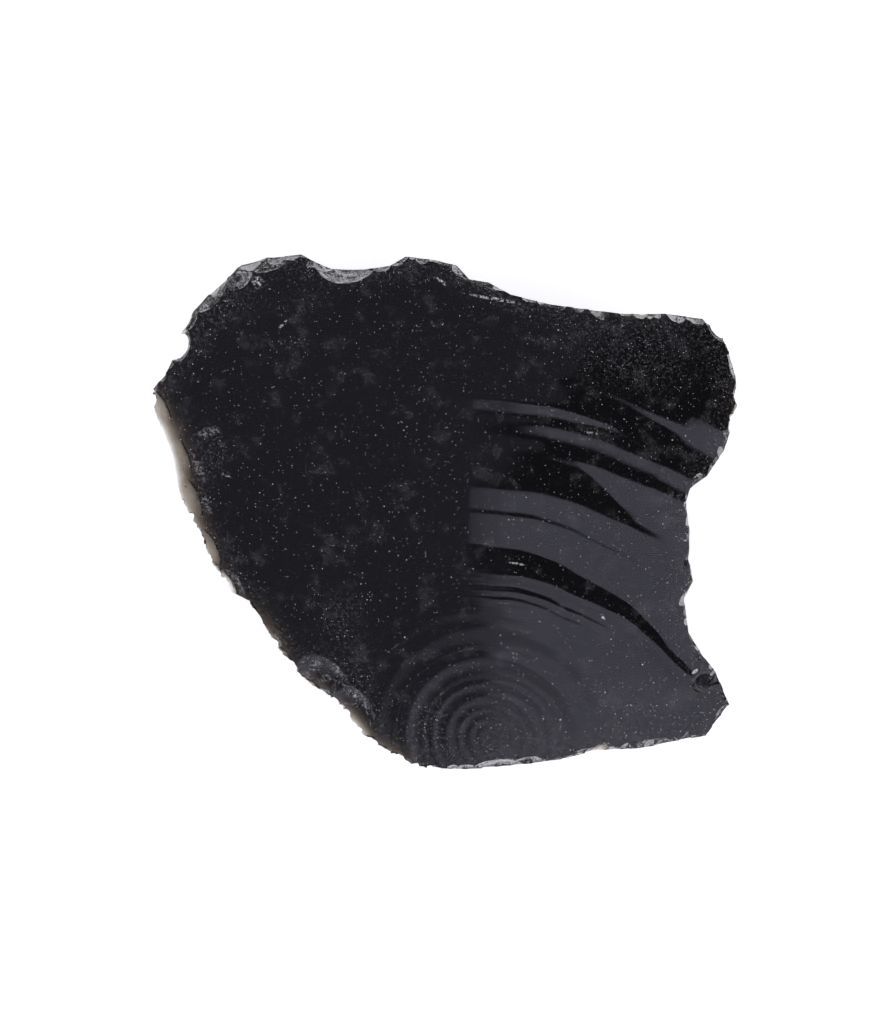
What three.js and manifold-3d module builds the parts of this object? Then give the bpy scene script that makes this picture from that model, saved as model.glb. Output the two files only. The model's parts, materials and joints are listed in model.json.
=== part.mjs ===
// Obsidian chunk: a thick flake of volcanic glass, struck off a bigger block in one blow.
//
// It lies on its back, with the smooth split face on top. The blow landed on the near edge, and left
// a low bulb on the split face beside it. The back is made of the hollows that earlier flakes left,
// which meet in ridges, and of one flat facet that the chunk rests on.
//
// Millimetres, +Z up. z = 0 is the rest facet, and x = y = 0 is the middle of the chunk's box.

import * as THREE from 'three';
import { mergeVertices } from 'three/addons/utils/BufferGeometryUtils.js';
import Module from 'manifold-3d';

// Driving dimensions
const THICKNESS = 20;      // from the rest facet to the crown of the split face
const FACE_STEP = 2.4;     // size of the facets on the split face
const SCAR_STEP = 3.0;     // size of the facets in the hollows of the back
const CHIP_STEP = 1.0;     // size of the facets in the chips along the rim
const WASTE = 12;          // how far the cutting bodies reach past the chunk

// The split face: a very gentle crown, with the bulb beside the point that was struck.
const CROWN = { x: -15, y: 0, radiusX: 450, radiusY: 350 };
const BULB = { x: 6.2, y: -30.9, radius: 13, height: 0.3 };

// The rim seen from above, clockwise from the left tip.
const RIM = [
  [-40.0, 16.2], [-38.0, 18.5], [-37.0, 20.8], [-36.0, 21.8], [-35.7, 24.7], [-34.1, 27.4],
  [-32.0, 29.7], [-30.6, 30.9], [-29.1, 32.1], [-27.8, 33.6], [-24.1, 34.6], [-19.7, 35.0],
  [-18.1, 34.1], [-15.5, 33.1], [-11.0, 33.0], [-7.6, 33.5], [-5.5, 34.7], [-2.0, 34.3],
  [1.5, 33.5], [3.2, 31.6], [5.8, 31.2], [8.8, 29.5], [14.3, 28.2], [23.5, 27.0],
  [30.7, 27.0], [35.1, 26.4], [37.9, 24.2], [39.5, 18.6], [40.0, 13.9], [38.8, 11.0],
  [37.8, 8.2], [35.5, 4.9], [33.2, 3.2], [32.7, 1.4], [33.2, -2.9], [33.0, -6.4],
  [33.7, -9.5], [32.4, -11.8], [33.0, -16.4], [35.1, -19.7], [36.8, -21.8], [38.7, -26.4],
  [36.8, -28.6], [35.4, -30.5], [31.6, -31.2], [27.8, -32.0], [19.7, -32.6], [16.8, -33.5],
  [11.0, -34.3], [2.6, -35.0], [-4.7, -34.5], [-8.7, -32.0], [-11.8, -30.2], [-13.2, -27.1],
  [-16.1, -25.1], [-19.9, -22.4], [-22.3, -18.8], [-25.6, -14.7], [-26.5, -12.0], [-28.9, -10.8],
  [-31.6, -6.7], [-33.5, -2.2], [-35.5, 1.4], [-37.3, 6.7], [-39.2, 10.9],
];

// Hollows on the back, each the surface of a large ball. bearing is where on the rim it starts, in
// degrees from +X towards +Y; edge is the glass it leaves at the rim; inset is how far in from the
// rim it comes out, and drop how far below its start. Those with no drop run down to the rest facet.
const BACK_SCARS = [
  { bearing: 160, edge: 1.8, inset: 31, radius: 150 },
  { bearing: 196, edge: 1.0, inset: 26, radius: 150 },
  { bearing: 232, edge: 0.9, inset: 19, radius: 110 },
  { bearing: 274, edge: 4.5, inset: 12, radius: 45 },
  { bearing: 318, edge: 3.4, inset: 24, radius: 62 },
  { bearing: 355, edge: 3.0, inset: 15, radius: 50 },
  { bearing: 36, edge: 3.0, inset: 27, radius: 90 },
  { bearing: 84, edge: 5.0, inset: 13, radius: 50 },
  { bearing: 112, edge: 6.6, inset: 17, radius: 58 },
  { bearing: 145, edge: 2.6, inset: 25, radius: 60 },
  { bearing: 178, edge: 0.5, inset: 9, drop: 6.0, radius: 40 },
  { bearing: 214, edge: 0.6, inset: 8, drop: 5.5, radius: 30 },
  { bearing: 250, edge: 0.9, inset: 7, drop: 5.5, radius: 26 },
  { bearing: 298, edge: 3.0, inset: 8, drop: 7.5, radius: 24 },
  { bearing: 14, edge: 2.6, inset: 8, drop: 7.0, radius: 26 },
  { bearing: 58, edge: 3.4, inset: 9, drop: 8.0, radius: 28 },
];

// Chips struck from the split face along the top rim: centre, half sizes, and turn in degrees.
const RIM_CHIPS = [
  { centre: [-13.6, 36.9, 21.0], size: [5.8, 6.6, 6.6], turn: 0 },
  { centre: [5.6, 33.5, 22.6], size: [10.5, 5.6, 6.2], turn: -19 },
];

const wasm = await Module();
wasm.setup();

// A closed geometry as a solid that can be joined and cut.
function solidOf(geometry) {
  const bare = geometry.clone();
  bare.deleteAttribute('normal');
  bare.deleteAttribute('uv');
  const merged = mergeVertices(bare);
  const mesh = new wasm.Mesh({
    numProp: 3,
    vertProperties: new Float32Array(merged.getAttribute('position').array),
    triVerts: new Uint32Array(merged.getIndex().array),
  });
  return new wasm.Manifold(mesh);
}

// A solid back as a flat-shaded geometry.
function geometryOf(solid) {
  const mesh = solid.getMesh();
  const geometry = new THREE.BufferGeometry();
  geometry.setAttribute('position', new THREE.BufferAttribute(mesh.vertProperties, 3));
  geometry.setIndex(new THREE.BufferAttribute(mesh.triVerts, 1));
  return geometry;
}

// Height of the split face above the rest facet.
function faceHeight(x, y) {
  const sagX = (x - CROWN.x) ** 2 / (2 * CROWN.radiusX);
  const sagY = (y - CROWN.y) ** 2 / (2 * CROWN.radiusY);
  const reach = Math.hypot(x - BULB.x, y - BULB.y) / BULB.radius;
  const bulb = reach < 1 ? BULB.height * (1 - reach ** 2) ** 2 : 0;
  return THICKNESS - sagX - sagY + bulb;
}

// How far the rim is from the middle at a bearing in radians.
function rimDistance(bearing) {
  const along = new THREE.Vector2(Math.cos(bearing), Math.sin(bearing));
  let farthest = 0;
  RIM.forEach((point, i) => {
    const from = new THREE.Vector2(...point);
    const side = new THREE.Vector2(...RIM[(i + 1) % RIM.length]).sub(from);
    const spread = along.cross(side);
    const onSide = from.cross(along) / spread;
    const onRay = from.cross(side) / spread;
    if (onSide >= 0 && onSide <= 1 && onRay > farthest) farthest = onRay;
  });
  return farthest;
}

// The blank: the rim's outline as an upright slab.
function blank() {
  const outline = new THREE.Shape(RIM.map(([x, y]) => new THREE.Vector2(x, y)));
  return solidOf(new THREE.ExtrudeGeometry(outline, { depth: THICKNESS + WASTE, bevelEnabled: false }));
}

// What the blow took away: all that lies above the split face.
function overFace() {
  const bounds = new THREE.Box2().setFromPoints(RIM.map(([x, y]) => new THREE.Vector2(x, y)));
  const size = bounds.getSize(new THREE.Vector2()).addScalar(WASTE);
  const steps = size.clone().divideScalar(FACE_STEP).ceil();
  const block = new THREE.BoxGeometry(size.x, size.y, 1, steps.x, steps.y, 1);
  const position = block.getAttribute('position');
  for (let i = 0; i < position.count; i += 1) {
    const under = position.getZ(i) < 0;
    const height = under ? faceHeight(position.getX(i), position.getY(i)) : THICKNESS + 2 * WASTE;
    position.setZ(i, height);
  }
  return solidOf(block);
}

// A ball whose surface passes through where the hollow starts and where it comes out.
function backScar({ bearing, edge, inset, drop, radius }) {
  const turn = THREE.MathUtils.degToRad(bearing);
  const rim = rimDistance(turn);
  const start = faceHeight(rim * Math.cos(turn), rim * Math.sin(turn)) - edge;
  const fall = drop ?? start;
  const chord = Math.hypot(inset, fall);
  const away = Math.sqrt(radius ** 2 - (chord / 2) ** 2) / chord;
  const out = rim - inset / 2 + away * fall;
  const up = start - fall / 2 - away * inset;
  const ball = new THREE.IcosahedronGeometry(radius, Math.ceil(radius / SCAR_STEP));
  ball.translate(out * Math.cos(turn), out * Math.sin(turn), up);
  return solidOf(ball);
}

// An ellipsoid that bites a chip out of the rim from above.
function rimChip({ centre, size, turn }) {
  const ball = new THREE.IcosahedronGeometry(1, Math.ceil(Math.max(...size) / CHIP_STEP));
  ball.scale(...size);
  ball.rotateZ(THREE.MathUtils.degToRad(turn));
  ball.translate(...centre);
  return solidOf(ball);
}

// The chunk, knapped from the blank and then centred over its own box.
function chunkGeometry() {
  const cuts = [overFace(), ...BACK_SCARS.map(backScar), ...RIM_CHIPS.map(rimChip)];
  const knapped = cuts.reduce((solid, cut) => solid.subtract(cut), blank());
  const geometry = geometryOf(knapped);
  geometry.computeBoundingBox();
  const middle = geometry.boundingBox.getCenter(new THREE.Vector3());
  return geometry.translate(-middle.x, -middle.y, 0);
}

const glass = new THREE.MeshStandardMaterial({
  name: 'black volcanic glass',
  color: 0x17161a,
  roughness: 0.12,
  metalness: 0,
  flatShading: true,
});

const chunk = new THREE.Mesh(chunkGeometry(), glass);
chunk.name = 'obsidian_chunk';

const part = new THREE.Group();
part.name = 'obsidian_chunk_part';
part.add(chunk);

export default part;
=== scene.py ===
import json
import math
import random

import bpy
import numpy as np
from mathutils import Matrix, Vector, noise

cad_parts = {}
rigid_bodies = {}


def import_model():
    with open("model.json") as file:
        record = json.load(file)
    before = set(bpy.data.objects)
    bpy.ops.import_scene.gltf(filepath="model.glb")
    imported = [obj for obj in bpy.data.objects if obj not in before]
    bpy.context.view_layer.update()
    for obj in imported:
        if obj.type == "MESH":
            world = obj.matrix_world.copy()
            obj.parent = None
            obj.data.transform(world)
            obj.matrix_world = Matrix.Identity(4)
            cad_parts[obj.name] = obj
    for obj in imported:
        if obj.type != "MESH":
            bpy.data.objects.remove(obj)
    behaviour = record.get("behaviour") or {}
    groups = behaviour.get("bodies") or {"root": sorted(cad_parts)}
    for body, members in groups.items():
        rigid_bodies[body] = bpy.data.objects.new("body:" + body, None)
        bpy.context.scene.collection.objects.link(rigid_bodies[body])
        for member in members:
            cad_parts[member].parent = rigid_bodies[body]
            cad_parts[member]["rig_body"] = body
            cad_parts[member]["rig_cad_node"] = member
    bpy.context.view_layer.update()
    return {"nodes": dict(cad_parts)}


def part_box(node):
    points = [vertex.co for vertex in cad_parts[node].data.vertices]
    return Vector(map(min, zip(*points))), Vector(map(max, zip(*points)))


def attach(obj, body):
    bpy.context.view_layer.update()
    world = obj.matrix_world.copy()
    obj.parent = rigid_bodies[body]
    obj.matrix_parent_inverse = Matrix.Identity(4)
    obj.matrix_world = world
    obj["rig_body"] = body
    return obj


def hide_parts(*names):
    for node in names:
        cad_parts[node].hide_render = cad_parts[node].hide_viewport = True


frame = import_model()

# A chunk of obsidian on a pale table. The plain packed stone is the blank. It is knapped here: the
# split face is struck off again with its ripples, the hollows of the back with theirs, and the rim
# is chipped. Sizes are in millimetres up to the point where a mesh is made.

MM = 0.001
NODE = "obsidian_chunk"
LOW, HIGH = (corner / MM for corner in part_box(NODE))
THICKNESS = round(HIGH.z)

# The split face: a gentle crown, and a low bulb beside the struck edge.
CROWN = (-15.0, 0.0)
CROWN_RADII = (450.0, 350.0)
BULB = (6.2, -30.9)
BULB_RADIUS = 13.0
BULB_HEIGHT = 0.3

# A cut can only take glass away, so the rippled face lies a little below the plain one. It sinks
# from nothing at the left rim to its full depth near the middle, and part of the bulb goes too.
FACE_SINK = 0.12
SINK_FROM, SINK_TO = -38.0, -4.0
BULB_LEFT = 0.35           # the share of the bulb that stays

# Rings on the bulb: distance from its middle, half width, height. They fade on its right side.
BULB_RINGS = [
    (1.6, 0.35, 0.014),
    (2.9, 0.40, 0.026),
    (4.4, 0.35, 0.030),
    (6.0, 0.55, 0.036),
    (7.9, 0.35, 0.040),
    (9.2, 0.30, 0.016),
    (11.4, 0.85, 0.070),
    (13.0, 0.35, 0.016),
    (15.4, 0.90, 0.030),
    (18.2, 1.10, 0.022),
]

# Ripples spread from a point below the near edge. Each is a band between two distances from it, at
# its start and at its end. The tilts say how steeply it falls going out, at its start and its end.
# Then come how softly it begins, and the bearings of its start and its end.
RIPPLE_SOURCE = (1.5, -46.8)
RIPPLES = [
    (33.2, 33.7, 33.4, 33.8, 0.060, 0.12, 0.12, 8, 38),
    (34.5, 35.0, 34.6, 35.0, 0.062, 0.13, 0.12, 7, 46),
    (35.4, 36.0, 35.5, 36.1, 0.085, 0.13, 0.12, 5, 48),
    (36.6, 37.3, 36.9, 37.5, 0.13, 0.12, 0.15, 6, 50),
    (37.5, 38.5, 37.5, 39.2, -0.02, -0.06, 0.20, 6, 50),
    (38.5, 42.9, 39.6, 40.7, 0.058, 0.17, 0.20, 2, 50),
    (42.9, 47.0, 40.7, 46.5, -0.012, -0.012, 0.30, 0, 47),
    (44.2, 44.8, 43.9, 44.4, 0.028, 0.05, 0.20, 8, 28),
    (45.3, 45.8, 45.0, 45.4, 0.030, 0.05, 0.20, 10, 24),
    (46.8, 47.4, 46.5, 47.0, 0.045, 0.06, 0.12, 8, 30),
    (48.0, 50.0, 48.6, 50.4, -0.02, -0.02, 0.50, 2, 38),
    (50.5, 57.6, 50.8, 51.4, 0.028, 0.07, 0.20, 12, 28),
    (54.9, 55.9, 51.8, 57.0, -0.055, -0.02, 0.40, 17, 31),
    (56.3, 57.4, 57.4, 58.2, 0.03, 0.05, 0.30, 17, 36),
    (58.0, 59.6, 58.8, 60.4, -0.045, -0.035, 0.50, 14, 38),
    (59.8, 60.6, 60.7, 64.2, 0.03, 0.045, 0.15, 14, 34),
    (60.8, 62.4, 60.9, 62.0, -0.080, -0.080, 0.70, 7, 23),
    (62.8, 66.0, 62.4, 65.0, 0.030, 0.030, 0.60, 7, 23),
    (65.2, 66.3, 65.0, 65.8, -0.062, -0.060, 0.40, 19, 30),
    (64.4, 68.2, 63.8, 68.5, -0.055, -0.060, 0.80, 31, 46),
]
RING_FADE = 0.5
RIPPLE_END = 0.16          # how far a band takes to turn into the next
LEFT_SHARE = 0.06          # what is left of the ripples at the far left

# The part of the split face that is meshed finely, where it is rippled, and its share of the grid.
FINE_FROM_X, FINE_TO_Y = -17.0, 16.0
FINE_SHARE = 0.80
BLOCK_MARGIN = 3.0
BLOCK_THICKNESS = 10.0

# Hollows of the back: bearing on the rim, edge of glass left, inset, drop (None: down to the rest
# facet) and the radius of the ball.
BACK_SCARS = [
    (160, 1.8, 31, None, 150),
    (196, 1.0, 26, None, 150),
    (232, 0.9, 19, None, 110),
    (274, 4.5, 12, None, 45),
    (318, 3.4, 24, None, 62),
    (355, 3.0, 15, None, 50),
    (36, 3.0, 27, None, 90),
    (84, 5.0, 13, None, 50),
    (112, 6.6, 17, None, 58),
    (145, 2.6, 25, None, 60),
    (178, 0.5, 9, 6.0, 40),
    (214, 0.6, 8, 5.5, 30),
    (250, 0.9, 7, 5.5, 26),
    (298, 3.0, 8, 7.5, 24),
    (14, 2.6, 8, 7.0, 26),
    (58, 3.4, 9, 8.0, 28),
]
SCAR_DEEPER = 0.07         # how far past the plain hollow the ball reaches
SCAR_RIPPLES = 0.35        # the share of its ripples that is cut

# Chips struck down from the split face: x, y, half size along and across of the hole they leave,
# its depth, half height of the body that cuts it, turn in degrees, and how crushed the glass is.
FACE_CHIPS = [
    (-39.4, 13.4, 1.8, 0.4, 0.15, 1.0, -70, 0.30),     # the left rim
    (-16.0, -23.0, 4.6, 2.4, 0.45, 3.0, -32, 0.10),    # crescents on the thin edge
    (-12.3, -27.8, 4.4, 2.6, 0.55, 3.0, -55, 0.10),
    (-24.0, -18.2, 3.0, 1.6, 0.35, 2.4, -45, 0.14),
    (-28.8, -10.4, 3.0, 1.4, 0.35, 2.4, -62, 0.14),
    (-24.6, 34.6, 3.8, 2.2, 1.00, 3.4, 10, 0.24),      # facets of the far left corner
    (-28.0, 32.0, 2.4, 1.6, 0.80, 2.6, 40, 0.30),
    (-31.8, 29.6, 3.4, 1.5, 0.60, 2.6, 46, 0.26),
    (-35.0, 26.2, 2.6, 1.2, 0.60, 2.2, 62, 0.28),
    (-35.9, 22.4, 2.2, 1.3, 1.10, 2.0, 70, 0.16),
    (-19.6, 35.4, 2.2, 1.0, 0.80, 2.2, -10, 0.26),
    (-2.0, 35.0, 3.4, 1.3, 0.90, 2.2, -3, 0.24),       # the top rim
    (3.0, 32.4, 2.6, 1.2, 0.70, 2.2, -40, 0.24),
    (18.5, 27.9, 3.4, 0.9, 0.60, 2.0, -8, 0.20),
    (29.5, 27.2, 3.6, 0.9, 0.55, 2.0, 0, 0.24),
    (26.2, 26.6, 0.9, 0.8, 0.50, 1.0, 0, 0.55),
    (37.4, 25.0, 2.4, 1.5, 1.00, 2.6, -48, 0.22),      # the right corner
    (39.6, 19.8, 2.6, 1.0, 0.90, 2.0, -75, 0.46),
    (39.9, 12.8, 3.0, 1.1, 1.20, 2.2, 72, 0.30),
    (37.0, 6.8, 2.2, 0.9, 0.70, 1.8, 55, 0.26),
    (33.5, -10.5, 0.9, 0.8, 0.90, 1.4, 80, 0.20),      # nicks of the right side
    (32.7, -3.8, 0.5, 0.4, 0.40, 0.7, 0, 0.80),
    (33.6, 1.0, 1.6, 0.7, 0.60, 1.4, 85, 0.26),
    (33.8, -17.2, 1.8, 0.7, 0.50, 1.4, -55, 0.26),
    (34.0, -21.6, 0.8, 0.35, 0.25, 0.6, 35, 0.80),     # the edge of the round hollow
    (38.0, -27.6, 1.6, 1.0, 0.60, 1.6, 50, 0.30),
    (7.4, -34.6, 3.4, 1.0, 0.60, 1.4, 3, 0.62),        # the crushed platform
    (11.4, -34.0, 1.9, 0.8, 0.45, 1.2, 10, 0.50),
    (3.0, -35.0, 1.6, 0.7, 0.40, 1.0, -2, 0.60),
    (20.6, -32.8, 2.6, 0.7, 0.45, 1.4, -2, 0.28),
    (29.8, -31.6, 3.2, 0.8, 0.45, 1.4, 2, 0.26),
]

# Flakes split off below the split face, which leave a thin clear lip: x, y, half size along and
# across, glass left, half height, turn in degrees, and how crushed the glass is.
UNDER_CHIPS = [
    (-38.9, 12.4, 4.4, 1.9, 0.33, 1.3, -74, 0.08),     # the pale lip on the left
    (-37.0, 6.8, 4.8, 2.6, 0.34, 1.5, -73, 0.08),
    (-35.4, 1.6, 4.4, 2.2, 0.36, 1.4, -68, 0.10),
    (-32.4, -4.8, 3.4, 1.5, 0.38, 1.3, -60, 0.12),
    (-29.6, -9.8, 2.6, 1.1, 0.40, 1.1, -60, 0.14),
    (-22.2, -19.4, 1.7, 1.0, 0.30, 1.4, -52, 0.10),    # windows of the thin edge
    (-26.4, -13.4, 1.6, 0.9, 0.40, 1.4, -60, 0.10),
    (-18.4, -23.6, 1.5, 0.8, 0.35, 1.4, -30, 0.10),
    (-35.6, 22.9, 2.2, 1.3, 0.35, 1.6, 80, 0.12),      # the far left corner
    (37.3, 24.9, 2.3, 1.6, 0.50, 1.8, -48, 0.10),      # the right corner
    (39.6, 13.4, 2.8, 1.0, 0.45, 1.6, 75, 0.16),
]

# Deep bites: two in the top rim and the small round hollow in the right side. Each has its centre,
# half sizes, turn and tilt in degrees, and how crushed the glass is.
BITES = [
    ((-13.6, 36.9, 21.0), (5.9, 6.7, 6.7), 0, 0, 0.34),
    ((5.6, 33.5, 22.6), (10.6, 5.7, 6.3), -19, 0, 0.16),
    ((35.3, -23.2, 16.2), (1.9, 1.9, 0.55), 0, -18, 0.0),
]

# How lumpy the chips are, and how flat the flakes below the face are on top, against a ball.
LUMPS = 0.05
RIM_LUMPS = 0.25
FLAKE_ROUNDNESS = 0.5

# Random chips by stretch of the rim: bearing from and to, chips, smallest and largest half size,
# and the least and most crushed.
RIM_STRETCHES = [
    (150, 205, 110, 0.18, 0.75, 0.10, 0.70),
    (205, 250, 150, 0.22, 1.10, 0.15, 0.80),
    (250, 318, 160, 0.30, 1.25, 0.20, 0.80),
    (318, 372, 120, 0.25, 1.00, 0.10, 0.80),
    (12, 42, 80, 0.25, 1.10, 0.20, 0.90),
    (42, 90, 110, 0.25, 1.00, 0.20, 0.80),
    (90, 150, 150, 0.30, 1.40, 0.20, 0.90),
]

# Marks on the split face: x, y, half length, half width, turn in degrees, and how white.
MARKS = [
    (-7.2, -18.4, 1.4, 0.22, 39, 0.80),       # scratches and smears
    (9.7, -7.0, 1.9, 0.28, -8, 0.80),
    (21.3, -14.3, 1.1, 0.34, -65, 0.90),
    (-1.8, 25.5, 1.4, 0.55, -60, 0.40),
    (-22.0, 25.4, 1.2, 0.35, 45, 0.90),
    (21.7, 17.9, 1.5, 0.22, 75, 0.55),
    (19.9, 10.7, 2.8, 0.40, -8, 0.60),
    (-8.6, -27.6, 3.5, 0.07, 89, 0.35),       # a hairline crack
    (-0.7, 31.3, 1.7, 0.45, -41, 0.85),       # the crushed line above the second bite
    (6.6, 28.9, 6.4, 0.42, -10, 0.85),
    (26.2, 25.9, 0.9, 0.45, -40, 0.90),       # crushed spots by the right corner
    (38.4, 19.9, 2.8, 0.55, -75, 0.85),
    (39.2, 12.9, 3.1, 0.35, 78, 0.45),
    (32.4, -3.9, 0.5, 0.35, 0, 0.90),
    (34.7, -20.9, 0.9, 0.26, -30, 0.90),
    (8.2, -33.8, 4.0, 0.95, 2, 0.70),         # the crushed platform
    (8.2, -34.2, 2.8, 0.45, 2, 1.00),
    (-25.5, 31.1, 1.3, 1.5, 20, 0.80),        # the far left corner
    (-23.0, 33.3, 1.8, 0.30, 43, 0.65),
    (-29.5, 28.6, 1.5, 0.32, 5, 0.60),
    (-33.2, 27.9, 1.6, 0.25, 40, 0.50),
    (-32.0, 10.8, 2.8, 1.3, 12, 0.55),        # the worn spot by the left lip
    (-30.2, 9.0, 1.9, 0.6, -30, 0.48),
    (-29.6, 4.9, 1.5, 0.25, -20, 0.60),
    (-33.4, 6.0, 4.6, 1.2, -66, 0.50),
    (-32.2, 1.0, 3.4, 1.0, -70, 0.50),
]

# Where the dust lies thick: x, y, reach along x and y, how thick.
DUST_PATCHES = [
    (28.9, 20.5, 8.0, 5.0, 0.62),
    (19.0, 21.0, 7.0, 6.0, 0.22),
    (-31.6, 7.8, 2.4, 4.2, 0.90),
    (-14.0, -13.8, 3.6, 4.0, 0.60),
    (-13.5, -21.5, 5.0, 4.0, 0.55),
    (26.0, -26.5, 9.0, 5.0, 0.75),
    (-2.5, -28.5, 3.0, 4.5, 0.60),
    (-29.5, 28.0, 5.0, 3.5, 0.50),
    (-21.0, 22.5, 2.2, 1.5, 0.60),
    (-19.5, 28.0, 4.0, 2.5, 0.40),
    (20.0, 11.0, 4.0, 1.8, 0.60),
    (2.5, 13.0, 5.0, 6.0, 0.20),
    (10.5, -31.0, 5.0, 3.0, 0.50),
    (-16.5, -23.4, 3.6, 2.2, 0.60),
    (-12.0, -28.2, 3.2, 2.8, 0.60),
    (-33.0, 26.0, 3.0, 4.0, 0.40),
    (4.0, -27.0, 7.0, 4.5, 0.35),
]
PLAIN_DUST = 0.35
RIM_DUST = 0.75
RIM_DUST_REACH = 2.8
CREASE = 24                # degrees between faces past which an edge is sharp
SEED = 20


# Modelling by hand

def pick(piece):
    """Selects one object and nothing else."""
    bpy.ops.object.select_all(action="DESELECT")
    piece.select_set(True)
    bpy.context.view_layer.objects.active = piece


def edit(piece, *steps):
    """Runs edit-mode steps on all of a piece."""
    pick(piece)
    bpy.ops.object.mode_set(mode="EDIT")
    bpy.ops.mesh.select_all(action="SELECT")
    for step, settings in steps:
        step(**settings)
    bpy.ops.object.mode_set(mode="OBJECT")


def points_of(mesh):
    """A mesh's points as rows, in millimetres."""
    flat = np.empty(len(mesh.vertices) * 3, np.float32)
    mesh.vertices.foreach_get("co", flat)
    return flat.reshape(-1, 3).astype(float) / MM


def set_points(mesh, rows):
    mesh.vertices.foreach_set("co", (rows * MM).astype(np.float32).ravel())
    mesh.update()


def tag(mesh, crush):
    """Notes on every point how crushed the glass that this body cuts will be."""
    layer = mesh.attributes.new("crush", "FLOAT", "POINT")
    layer.data.foreach_set("value", np.full(len(mesh.vertices), crush, np.float32))


def strike(piece, cutters):
    """Cuts bodies off a piece, and clears them away."""
    struck = bpy.data.collections.new("struck")
    bpy.context.scene.collection.children.link(struck)
    for cutter in cutters:
        for owner in list(cutter.users_collection):
            owner.objects.unlink(cutter)
        struck.objects.link(cutter)
    pick(piece)
    blow = piece.modifiers.new("blow", "BOOLEAN")
    blow.operation = "DIFFERENCE"
    blow.solver = "MANIFOLD"
    blow.operand_type = "COLLECTION"
    blow.collection = struck
    bpy.ops.object.modifier_apply(modifier="blow")
    for cutter in cutters:
        bpy.data.objects.remove(cutter)
    bpy.data.collections.remove(struck)


def smooth(low, high, value):
    """0 below low, 1 above high, and an even turn between them."""
    share = np.clip((value - low) / (high - low), 0.0, 1.0)
    return share * share * (3.0 - 2.0 * share)


# The split face

def crown_height(x, y):
    sag = (x - CROWN[0]) ** 2 / (2 * CROWN_RADII[0]) + (y - CROWN[1]) ** 2 / (2 * CROWN_RADII[1])
    return THICKNESS - sag + bulb_height(x, y)


def bulb_height(x, y):
    reach = np.hypot(x - BULB[0], y - BULB[1]) / BULB_RADIUS
    return BULB_HEIGHT * (1.0 - np.minimum(reach, 1.0) ** 2) ** 2


def struck_height(x, y):
    """The split face without its rings and ripples: a little below the plain one."""
    sunk = np.interp(x, [SINK_FROM, SINK_TO], [0.0, FACE_SINK])
    return crown_height(x, y) - sunk - (1.0 - BULB_LEFT) * bulb_height(x, y)


def face_height(x, y):
    return float(struck_height(np.array([x]), np.array([y]))[0])


def ring_height(x, y):
    """The close rings around the bulb's middle, a little out of round."""
    east, north = x - BULB[0], y - BULB[1]
    round_about = np.arctan2(east, north)
    away = np.hypot(east, north) * (1.0 + 0.03 * np.sin(2 * round_about + 0.6))
    away = away + 0.12 * np.sin(3 * round_about + 1.0)
    total = np.zeros_like(x)
    for place, half, height in BULB_RINGS:
        total += height * np.exp(-(((away - place) / half) ** 2))
    fade_from, fade_to = 0.5, 1.5
    return total * (1.0 - RING_FADE * smooth(fade_from, fade_to, round_about))


def ripple_height(x, y):
    """The broad ripples that ran out from the blow. Those that start far left fade slowly there."""
    east, north = x - RIPPLE_SOURCE[0], y - RIPPLE_SOURCE[1]
    away = np.hypot(east, north)
    bearing = np.degrees(np.arctan2(east, north))
    sway = 0.18 * np.sin(bearing * 0.31)
    tremble = 0.04 * np.sin(bearing * 0.83 + 1.0)
    away = away + sway + tremble
    far_left, long_lead, short_lead, trail = 13, 40, 12, 8
    total = np.zeros_like(x)
    for in_a, out_a, in_b, out_b, tilt_a, tilt_b, soft, start, end in RIPPLES:
        along = np.clip((bearing - start) / (end - start), 0.0, 1.0)
        inner = in_a + (in_b - in_a) * along
        outer = out_a + (out_b - out_a) * along
        tilt = tilt_a + (tilt_b - tilt_a) * along
        run = soft_ramp(away - inner, soft) - soft_ramp(away - outer, RIPPLE_END)
        share, lead = (LEFT_SHARE, long_lead) if start < far_left else (0.0, short_lead)
        left = share + (1 - share) * smooth(start - lead, start, bearing)
        right = 1.0 - smooth(end, end + trail, bearing)
        total -= tilt * run * left * right
    return total


def soft_ramp(distance, edge):
    """0 before a line and the distance past it after, with a rounded turn."""
    return 0.5 * (distance + np.sqrt(distance * distance + edge * edge))


def split_face_block():
    """What the blow took off: its under side is the split face, finely meshed where it is rippled."""
    bpy.ops.mesh.primitive_grid_add(x_subdivisions=284, y_subdivisions=252, size=2, calc_uvs=False)
    block = bpy.context.object
    rows = points_of(block.data) * MM
    left, right = LOW.x - BLOCK_MARGIN, HIGH.x + BLOCK_MARGIN
    low, high = LOW.y - BLOCK_MARGIN, HIGH.y + BLOCK_MARGIN
    u, v = (rows[:, 0] + 1) / 2, (rows[:, 1] + 1) / 2
    x = np.interp(u, [0, 1 - FINE_SHARE, 1], [left, FINE_FROM_X, right])
    y = np.interp(v, [0, FINE_SHARE, 1], [low, FINE_TO_Y, high])
    z = struck_height(x, y) + ring_height(x, y) + ripple_height(x, y)
    set_points(block.data, np.column_stack([x, y, z]))
    lift = (0, 0, BLOCK_THICKNESS * MM)
    edit(
        block,
        (bpy.ops.mesh.extrude_region_move, {"TRANSFORM_OT_translate": {"value": lift}}),
    )
    edit(block, (bpy.ops.mesh.normals_make_consistent, {"inside": False}))
    tag(block.data, 0.0)
    return block


# The back

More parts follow.
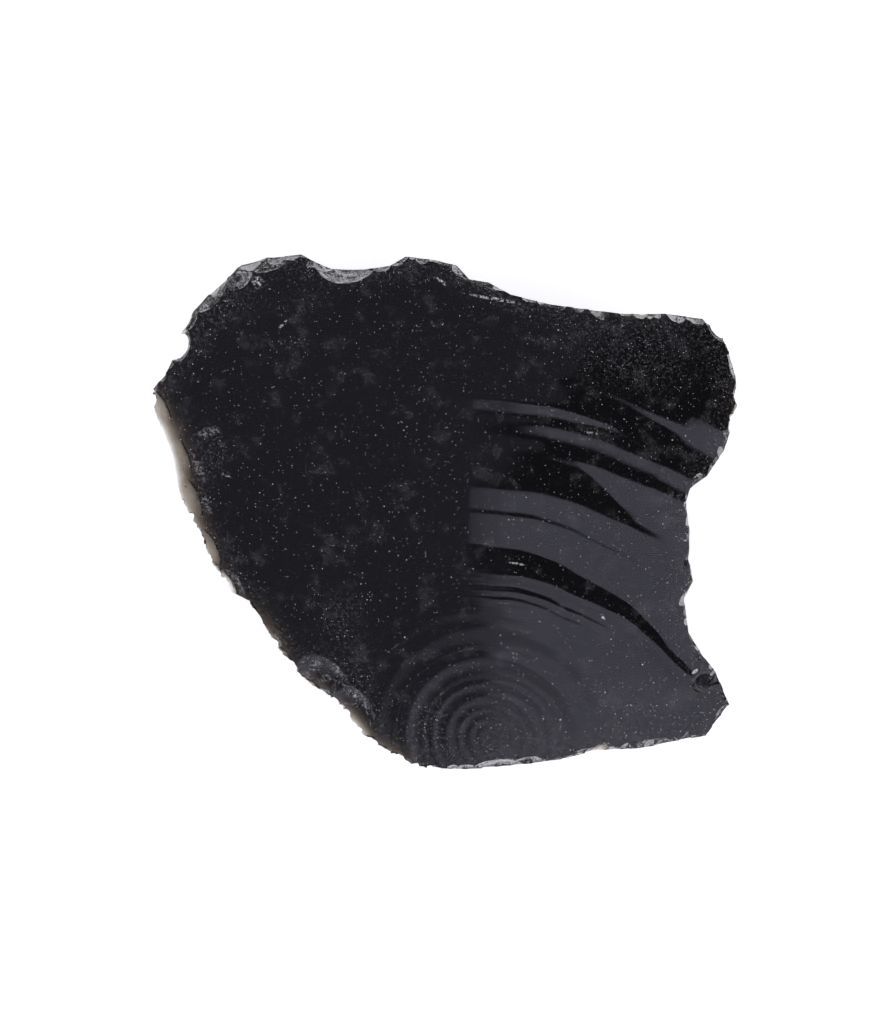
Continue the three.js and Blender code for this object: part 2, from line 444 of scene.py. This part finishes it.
def rim_distance(walls, bearing):
    """How far the rim is from the middle at a bearing, from the frame's own outline."""
    along = np.array([math.cos(bearing), math.sin(bearing)])
    start, end = walls[:, :2], walls[:, 2:]
    side = end - start
    spread = along[0] * side[:, 1] - along[1] * side[:, 0]
    spread = np.where(np.abs(spread) < 1e-12, 1e-12, spread)
    on_side = (start[:, 0] * along[1] - start[:, 1] * along[0]) / spread
    on_ray = (start[:, 0] * side[:, 1] - start[:, 1] * side[:, 0]) / spread
    hits = on_ray[(on_side >= -0.001) & (on_side <= 1.001)]
    return float(hits.max())


def back_scar_ball(walls, scar, number):
    """A ball through the two ends of the hollow, with its pole and its rings where the blow fell."""
    bearing, edge, inset, drop, radius = scar
    turn = math.radians(bearing)
    rim = rim_distance(walls, turn)
    face = float(crown_height(np.array([rim * math.cos(turn)]), np.array([rim * math.sin(turn)]))[0])
    start = face - edge
    fall = start if drop is None else drop
    chord = math.hypot(inset, fall)
    away = math.sqrt(radius ** 2 - (chord / 2) ** 2) / chord
    middle = Vector((rim - inset / 2 + away * fall, 0.0, start - fall / 2 - away * inset))
    pole = (Vector((rim, 0.0, start)) - middle).normalized()
    rings, near_share, near_reach = 150, 0.8, min(52.0, 2.4 * radius)
    bpy.ops.mesh.primitive_uv_sphere_add(segments=112, ring_count=rings, radius=1, calc_uvs=False)
    ball = bpy.context.object
    rows = points_of(ball.data) * MM
    polar = np.arccos(np.clip(rows[:, 2], -1, 1)) / math.pi
    angle = np.interp(polar, [0, near_share, 1], [0, near_reach / radius, math.pi])
    round_about = np.arctan2(rows[:, 1], rows[:, 0])
    run = angle * radius
    first_wave, growth, steepness = 1.6, 0.09, 0.022
    wave = first_wave + growth * run
    fade = smooth(0.5, 4.0, run) * (1.0 - smooth(20.0, 46.0, run))
    wobble = 0.5 * np.sin(3 * round_about + number) + 0.3 * np.sin(5 * round_about + 2 * number)
    ripple = steepness * wave * fade * np.sin(2 * math.pi * np.log(wave) / growth + wobble)
    reach = radius + SCAR_DEEPER + SCAR_RIPPLES * ripple
    flat = np.column_stack([np.sin(angle) * np.cos(round_about), np.sin(angle) * np.sin(round_about)])
    rows = np.column_stack([flat * reach[:, None], np.cos(angle) * reach])
    set_points(ball.data, rows)
    to_pole = pole.to_track_quat("Z", "Y").to_matrix().to_4x4()
    place = Matrix.Rotation(turn, 4, "Z") @ Matrix.Translation(middle * MM) @ to_pole
    ball.data.transform(place)
    tag(ball.data, 0.0)
    return ball


# The rim

def rim_walls(piece):
    """The rim of the plain stone: its edges between the split face and a wall, seen from above."""
    mesh = piece.data
    ups = {}
    for face in mesh.polygons:
        for key in face.edge_keys:
            ups.setdefault(key, []).append(face.normal.z)
    rows = points_of(mesh)
    face_up, wall_up = 0.35, 0.2
    pairs = [(key, up) for key, up in ups.items() if len(up) == 2]
    kept = [key for key, up in pairs if max(up) > face_up and min(up) < wall_up]
    return np.array([[*rows[a][:2], *rows[b][:2]] for a, b in kept])


def chip_body(centre, sizes, turns, crush, detail, roughness, rng, roundness=1.0):
    """A lumpy ellipsoid, turned and placed, that bites one chip. Less round, its top is flatter."""
    bpy.ops.mesh.primitive_ico_sphere_add(subdivisions=detail, radius=1, calc_uvs=False)
    body = bpy.context.object
    rows = points_of(body.data) * MM
    drift = Vector((rng.uniform(-50, 50), rng.uniform(-50, 50), rng.uniform(-50, 50)))
    broad = np.array([noise.noise(Vector(row) * 1.3 + drift) for row in rows])
    small = np.array([noise.noise(Vector(row) * 3.7 - drift) for row in rows])
    lumps = broad + 0.45 * small
    rows[:, 2] = np.sign(rows[:, 2]) * np.abs(rows[:, 2]) ** roundness
    rows = rows * (1.0 + roughness * lumps)[:, None]
    set_points(body.data, rows * np.array(sizes))
    spin = Matrix.Rotation(turns[0], 4, "Z") @ Matrix.Rotation(turns[1], 4, "X")
    body.data.transform(Matrix.Translation(Vector(centre) * MM) @ spin)
    tag(body.data, crush)
    return body


def face_chips(rng):
    bodies = []
    for x, y, along, across, depth, up, turn, crush in FACE_CHIPS:
        centre = (x, y, face_height(x, y) + up - depth)
        spread = 1 / math.sqrt(1 - (1 - depth / up) ** 2)
        sizes = (along * spread, across * spread, up)
        detail = 5 if along > 2 else 4
        turns = (math.radians(turn), 0)
        bodies.append(chip_body(centre, sizes, turns, crush, detail, LUMPS, rng))
    return bodies


def under_chips(rng):
    bodies = []
    for x, y, along, across, left, up, turn, crush in UNDER_CHIPS:
        centre = (x, y, face_height(x, y) - left - up)
        sizes = (along, across, up)
        turns = (math.radians(turn), 0)
        bodies.append(chip_body(centre, sizes, turns, crush, 5, LUMPS, rng, FLAKE_ROUNDNESS))
    return bodies


def bites(rng):
    return [
        chip_body(centre, sizes, (math.radians(turn), math.radians(tilt)), crush, 6, LUMPS, rng)
        for centre, sizes, turn, tilt, crush in BITES
    ]


def rim_chips(walls, rng):
    """Small chips all along the rim, some struck from above and some from below."""
    bodies = []
    above_share, small_size = 0.45, 0.45
    for start, end, count, least, most, soft, hard in RIM_STRETCHES:
        for _ in range(count):
            turn = math.radians(rng.uniform(start, end))
            rim = rim_distance(walls, turn)
            size = least + (most - least) * rng.random() ** 1.9
            sizes = (
                size * rng.uniform(0.9, 1.9),
                size * rng.uniform(0.7, 1.1),
                size * rng.uniform(0.8, 1.5),
            )
            from_above = rng.random() < above_share
            out = rim + sizes[1] * rng.uniform(0.15, 0.70)
            x, y = out * math.cos(turn), out * math.sin(turn)
            side = 1 if from_above else -1
            z = face_height(x, y) + side * sizes[2] * rng.uniform(0.25, 0.75)
            turns = (turn + math.pi / 2 + rng.uniform(-0.5, 0.5), rng.uniform(-0.4, 0.4))
            crush = rng.uniform(soft, hard) ** 1.3
            detail = 2 if size < small_size else 3
            bodies.append(chip_body((x, y, z), sizes, turns, crush, detail, RIM_LUMPS, rng))
    return bodies


# Finishes

class Wire:
    """A socket in a recipe, with the sums that recipes use."""

    def __init__(self, recipe, socket):
        self.recipe = recipe
        self.socket = socket

    def sum(self, operation, *others):
        values = dict(enumerate((self, *others)))
        return self.recipe.node("ShaderNodeMath", {"operation": operation}, values)

    def __add__(self, other):
        return self.sum("ADD", other)

    __radd__ = __add__

    def __mul__(self, other):
        return self.sum("MULTIPLY", other)

    __rmul__ = __mul__

    def __sub__(self, other):
        return self.sum("SUBTRACT", other)

    def __rsub__(self, other):
        return (self * -1.0) + other

    def __truediv__(self, other):
        return self.sum("DIVIDE", other)

    def most(self, other):
        return self.sum("MAXIMUM", other)

    def least(self, other):
        return self.sum("MINIMUM", other)

    def step(self, low, high):
        """0 at low and 1 at high, with an even turn between them."""
        settings = {"interpolation_type": "SMOOTHSTEP"}
        return self.recipe.node(
            "ShaderNodeMapRange", settings, {"Value": self, "From Min": low, "From Max": high}
        )


class Recipe:
    """A node tree being filled."""

    def __init__(self, tree):
        self.tree = tree
        tree.nodes.clear()

    def node(self, kind, settings=None, sockets=None, out=0):
        made = self.tree.nodes.new(kind)
        for name, value in (settings or {}).items():
            setattr(made, name, value)
        for name, value in (sockets or {}).items():
            if isinstance(value, Wire):
                self.tree.links.new(value.socket, made.inputs[name])
            else:
                made.inputs[name].default_value = value
        return Wire(self, made.outputs[out]) if made.outputs else None

    def vector(self, operation, first, second):
        return self.node("ShaderNodeVectorMath", {"operation": operation}, {0: first, 1: second})

    def noise(self, place, scale, detail, roughness):
        sockets = {"Vector": place, "Scale": scale, "Detail": detail, "Roughness": roughness}
        return self.node("ShaderNodeTexNoise", None, sockets)

    def part(self, colour, name):
        return self.node("ShaderNodeSeparateColor", None, {"Color": colour}, out=name)


def in_millimetres(recipe):
    place = recipe.node("ShaderNodeTexCoord", out="Object")
    return recipe.node("ShaderNodeVectorMath", {"operation": "SCALE"}, {0: place, "Scale": 1 / MM})


def specks(recipe, place, cell, size, share, shift):
    """Scattered grains: one in each share of the cells, each with its own strength."""
    moved = recipe.node("ShaderNodeMapping", None, {"Vector": place, "Location": (shift, shift, 0)})
    grains = {"Vector": moved, "Scale": 1 / cell}
    away = recipe.node("ShaderNodeTexVoronoi", None, grains, out="Distance")
    kind = recipe.node("ShaderNodeTexVoronoi", None, grains, out="Color")
    strength = recipe.part(kind, "Green")
    chosen = (recipe.part(kind, "Red") + share).step(0.98, 1.0)
    return (1 - away.step(size * 0.4, size)) * chosen * (0.08 + strength * strength * 0.92)


def hairlines(recipe, place, length, width, turn, share, shift):
    """Short straight scratches, all laid one way."""
    settings = {"vector_type": "TEXTURE"}
    sockets = {
        "Vector": place,
        "Location": (shift, -shift, 0),
        "Rotation": (0, 0, math.radians(turn)),
        "Scale": (length * 2.2, width * 9, width * 9),
    }
    laid = recipe.node("ShaderNodeMapping", settings, sockets)
    away = recipe.node("ShaderNodeTexVoronoi", None, {"Vector": laid, "Scale": 1.0}, out="Distance")
    kind = recipe.node("ShaderNodeTexVoronoi", None, {"Vector": laid, "Scale": 1.0}, out="Color")
    chosen = (recipe.part(kind, "Red") + share).step(0.98, 1.0)
    return (1 - away.step(0.05, 0.12)) * chosen * recipe.part(kind, "Green")


def marks(recipe, place):
    """The marks of the split face, each a long soft spot."""
    total = None
    for x, y, along, across, turn, white in MARKS:
        sockets = {
            "Vector": place,
            "Location": (x, y, THICKNESS - 1.0),
            "Rotation": (0, 0, math.radians(turn)),
            "Scale": (along, across, 4.0),
        }
        laid = recipe.node("ShaderNodeMapping", {"vector_type": "TEXTURE"}, sockets)
        away = recipe.node("ShaderNodeVectorMath", {"operation": "LENGTH"}, {0: laid}, out="Value")
        spot = (1 - away.step(0.25, 1.1)) * white
        total = spot if total is None else total.most(spot)
    return total


def obsidian():
    """Black volcanic glass: clear and smoky where thin, with dust, scratches and crushed chips."""
    material = bpy.data.materials.new("smoky_volcanic_glass")
    material.use_nodes = True
    recipe = Recipe(material.node_tree)
    place = in_millimetres(recipe)
    crush = recipe.node("ShaderNodeAttribute", {"attribute_name": "crush"}, None, out="Fac")
    dust = recipe.node("ShaderNodeAttribute", {"attribute_name": "dust"}, None, out="Fac")
    grit = recipe.noise(place, 2.6, 6.0, 0.7)
    crumb = recipe.noise(place, 11.0, 3.0, 0.6)
    layered = recipe.vector("MULTIPLY", place, (0.5, 0.5, 3.2))
    fibre = recipe.noise(layered, 1.0, 5.0, 0.6)
    patch = recipe.noise(place, 0.33, 3.0, 0.6)

    spots = marks(recipe, place)
    thick = dust + spots
    powdery = specks(recipe, place, 0.30, 0.25, thick * 0.60, 3.0) * (0.70 + spots * 0.30)
    fine = specks(recipe, place, 0.60, 0.15, thick * 0.62, 7.0)
    coarse = specks(recipe, place, 1.9, 0.075, 0.32, 11.0)
    hair = hairlines(recipe, place, 1.1, 0.06, 35, 0.25, 5.0)
    hair = hair.most(hairlines(recipe, place, 0.9, 0.05, -50, 0.25, 17.0))
    hair = hair.most(hairlines(recipe, place, 1.3, 0.05, 4, 0.25, 29.0))
    smudge = patch.step(0.54, 0.68) * crumb.step(0.50, 0.66) * 0.14
    haze = dust.step(0.45, 1.0) * grit.step(0.50, 0.62) * 0.06
    core = spots.step(0.3, 0.9) * grit.step(0.46, 0.58) * 0.9
    dirt = powdery.most(fine).most(coarse).most(hair * 0.22).most(smudge).most(haze).most(core)

    worn = grit * 0.35 + fibre * 0.35 + crumb * 0.3
    grain = 0.40 + crumb.step(0.36, 0.62) * 0.5
    broken = (worn + crush * 0.28).step(0.55, 0.68) * crush.step(0.0, 0.08) * grain
    pale = dirt.most(broken).least(1.0)

    roughness = 0.035 + crush * 0.22
    height = worn * crush
    settings = {"Height": height, "Strength": 0.6, "Distance": 0.3 * MM}
    bumpy = recipe.node("ShaderNodeBump", None, settings, out="Normal")
    glass = recipe.node(
        "ShaderNodeBsdfPrincipled",
        None,
        {
            "Base Color": (1.0, 1.0, 1.0, 1.0),
            "Roughness": roughness,
            "IOR": 1.49,
            "Transmission Weight": 1.0,
            "Normal": bumpy,
        },
    )
    powder = recipe.node(
        "ShaderNodeBsdfPrincipled",
        None,
        {"Base Color": (0.80, 0.785, 0.785, 1.0), "Roughness": 0.75, "Normal": bumpy},
    )
    surface = recipe.node("ShaderNodeMixShader", None, {0: pale, 1: glass, 2: powder})
    smoke = recipe.node(
        "ShaderNodeVolumeAbsorption", None, {"Color": (0.42, 0.36, 0.28, 1.0), "Density": 5200.0}
    )
    recipe.node("ShaderNodeOutputMaterial", None, {"Surface": surface, "Volume": smoke})
    return material


# The piece

def rim_nearness(walls, rows):
    """The distance of each point from the rim, seen from above."""
    nearest = np.full(len(rows), np.inf)
    for from_x, from_y, to_x, to_y in walls:
        side = np.array([to_x - from_x, to_y - from_y])
        out = rows[:, :2] - (from_x, from_y)
        along = np.clip(out @ side / (side @ side), 0.0, 1.0)
        nearest = np.minimum(nearest, np.hypot(*(out - along[:, None] * side).T))
    return nearest


def lay_dust(mesh, walls):
    """Notes on every point how thick the dust lies: thicker in places, and along the rim."""
    rows = points_of(mesh)
    total = PLAIN_DUST + RIM_DUST * np.exp(-((rim_nearness(walls, rows) / RIM_DUST_REACH) ** 2))
    on_face = smooth(THICKNESS - 5, THICKNESS - 3, rows[:, 2])
    for x, y, reach_x, reach_y, thick in DUST_PATCHES:
        away = ((rows[:, 0] - x) / reach_x) ** 2 + ((rows[:, 1] - y) / reach_y) ** 2
        total += thick * np.exp(-away) * on_face
    layer = mesh.attributes.new("dust", "FLOAT", "POINT")
    layer.data.foreach_set("value", np.minimum(total, 1.0).astype(np.float32))


def knapped_chunk():
    node = frame["nodes"][NODE]
    bpy.ops.object.select_all(action="DESELECT")
    piece = node.copy()
    piece.data = node.data.copy()
    piece.name = "knapped_obsidian"
    piece.parent = None
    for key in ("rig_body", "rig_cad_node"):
        if key in piece:
            del piece[key]
    bpy.context.scene.collection.objects.link(piece)
    piece.data.materials.clear()
    pick(piece)
    bpy.ops.mesh.customdata_custom_splitnormals_clear()
    edit(piece, (bpy.ops.mesh.remove_doubles, {"threshold": 0.001 * MM}))
    tag(piece.data, 0.0)
    walls = rim_walls(piece)
    rng = random.Random(SEED)
    strike(piece, [split_face_block()])
    strike(piece, [back_scar_ball(walls, scar, number) for number, scar in enumerate(BACK_SCARS)])
    strike(piece, bites(rng) + face_chips(rng) + under_chips(rng) + rim_chips(walls, rng))
    lay_dust(piece.data, walls)
    pick(piece)
    bpy.ops.object.shade_smooth_by_angle(angle=math.radians(CREASE))
    piece.data.materials.clear()
    piece.data.materials.append(obsidian())
    piece.data.polygons.foreach_set("material_index", [0] * len(piece.data.polygons))
    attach(piece, "root")
    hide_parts(NODE)
    return piece


# The table, the light and the camera

def table():
    bpy.ops.mesh.primitive_plane_add(size=6, location=(0, 0, -0.1 * MM))
    top = bpy.context.object
    top.name = "table_top"
    material = bpy.data.materials.new("pale_table")
    material.use_nodes = True
    recipe = Recipe(material.node_tree)
    board = recipe.node(
        "ShaderNodeBsdfPrincipled",
        None,
        {
            "Base Color": (0.86, 0.86, 0.86, 1.0),
            "Roughness": 0.9,
            "Specular IOR Level": 0.0,
            "Emission Color": (1.0, 1.0, 1.0, 1.0),
            "Emission Strength": 0.62,
        },
    )
    recipe.node("ShaderNodeOutputMaterial", None, {"Surface": board})
    top.data.materials.append(material)


def room():
    """A light tent: bright at its sides, dim near the table and above, with one panel overhead."""
    world = bpy.data.worlds.new("tent")
    bpy.context.scene.world = world
    world.use_nodes = True
    recipe = Recipe(world.node_tree)
    way = recipe.node("ShaderNodeTexCoord", out="Generated")
    east, north, up = (recipe.node("ShaderNodeSeparateXYZ", None, {"Vector": way}, out=n) for n in "XYZ")
    above = up.most(0.05)
    across, along = east / above, north / above
    border = 0.115 + (along - 0.065).most(0.0) * 0.8 + (along + 0.23).least(0.0) * 0.9
    blur = 1 - (along + 0.08).least(0.0) * 38
    right = ((across - border) / blur).step(-0.022, 0.022)
    panel = right * (1 - along.step(0.0, 0.06))
    sides = 1 - up.step(0.55, 0.85)
    low = 1 - up.step(0.30, 0.50)
    top_light, panel_light, glow, side_light, low_loss = 0.19, 1.05, 0.13, 1.3, 1.2
    overhead = ((1 - right) * top_light + panel * panel_light) * (1 - sides)
    strength = glow + overhead + sides * (side_light - low * low_loss)
    tint = recipe.node(
        "ShaderNodeMix",
        {"data_type": "RGBA"},
        {"Factor": sides, 6: (0.97, 0.955, 1.20, 1.0), 7: (1.0, 1.0, 1.0, 1.0)},
        out=2,
    )
    sky = recipe.node("ShaderNodeBackground", None, {"Color": tint, "Strength": strength})
    recipe.node("ShaderNodeOutputWorld", None, {"Surface": sky})


def camera():
    lens, sensor = 100.0, 36.0
    frame_height = 138.4
    eye = bpy.data.cameras.new("camera")
    eye.lens = lens
    eye.sensor_width = sensor
    eye.clip_start = 0.01
    holder = bpy.data.objects.new("camera", eye)
    rim_height = THICKNESS - 1.2
    holder.location = Vector((0.3, 0.0, rim_height + frame_height * lens / sensor)) * MM
    bpy.context.scene.collection.objects.link(holder)
    bpy.context.scene.camera = holder


camera()
room()
table()
knapped_chunk()
bpy.context.scene.view_settings.view_transform = "Standard"
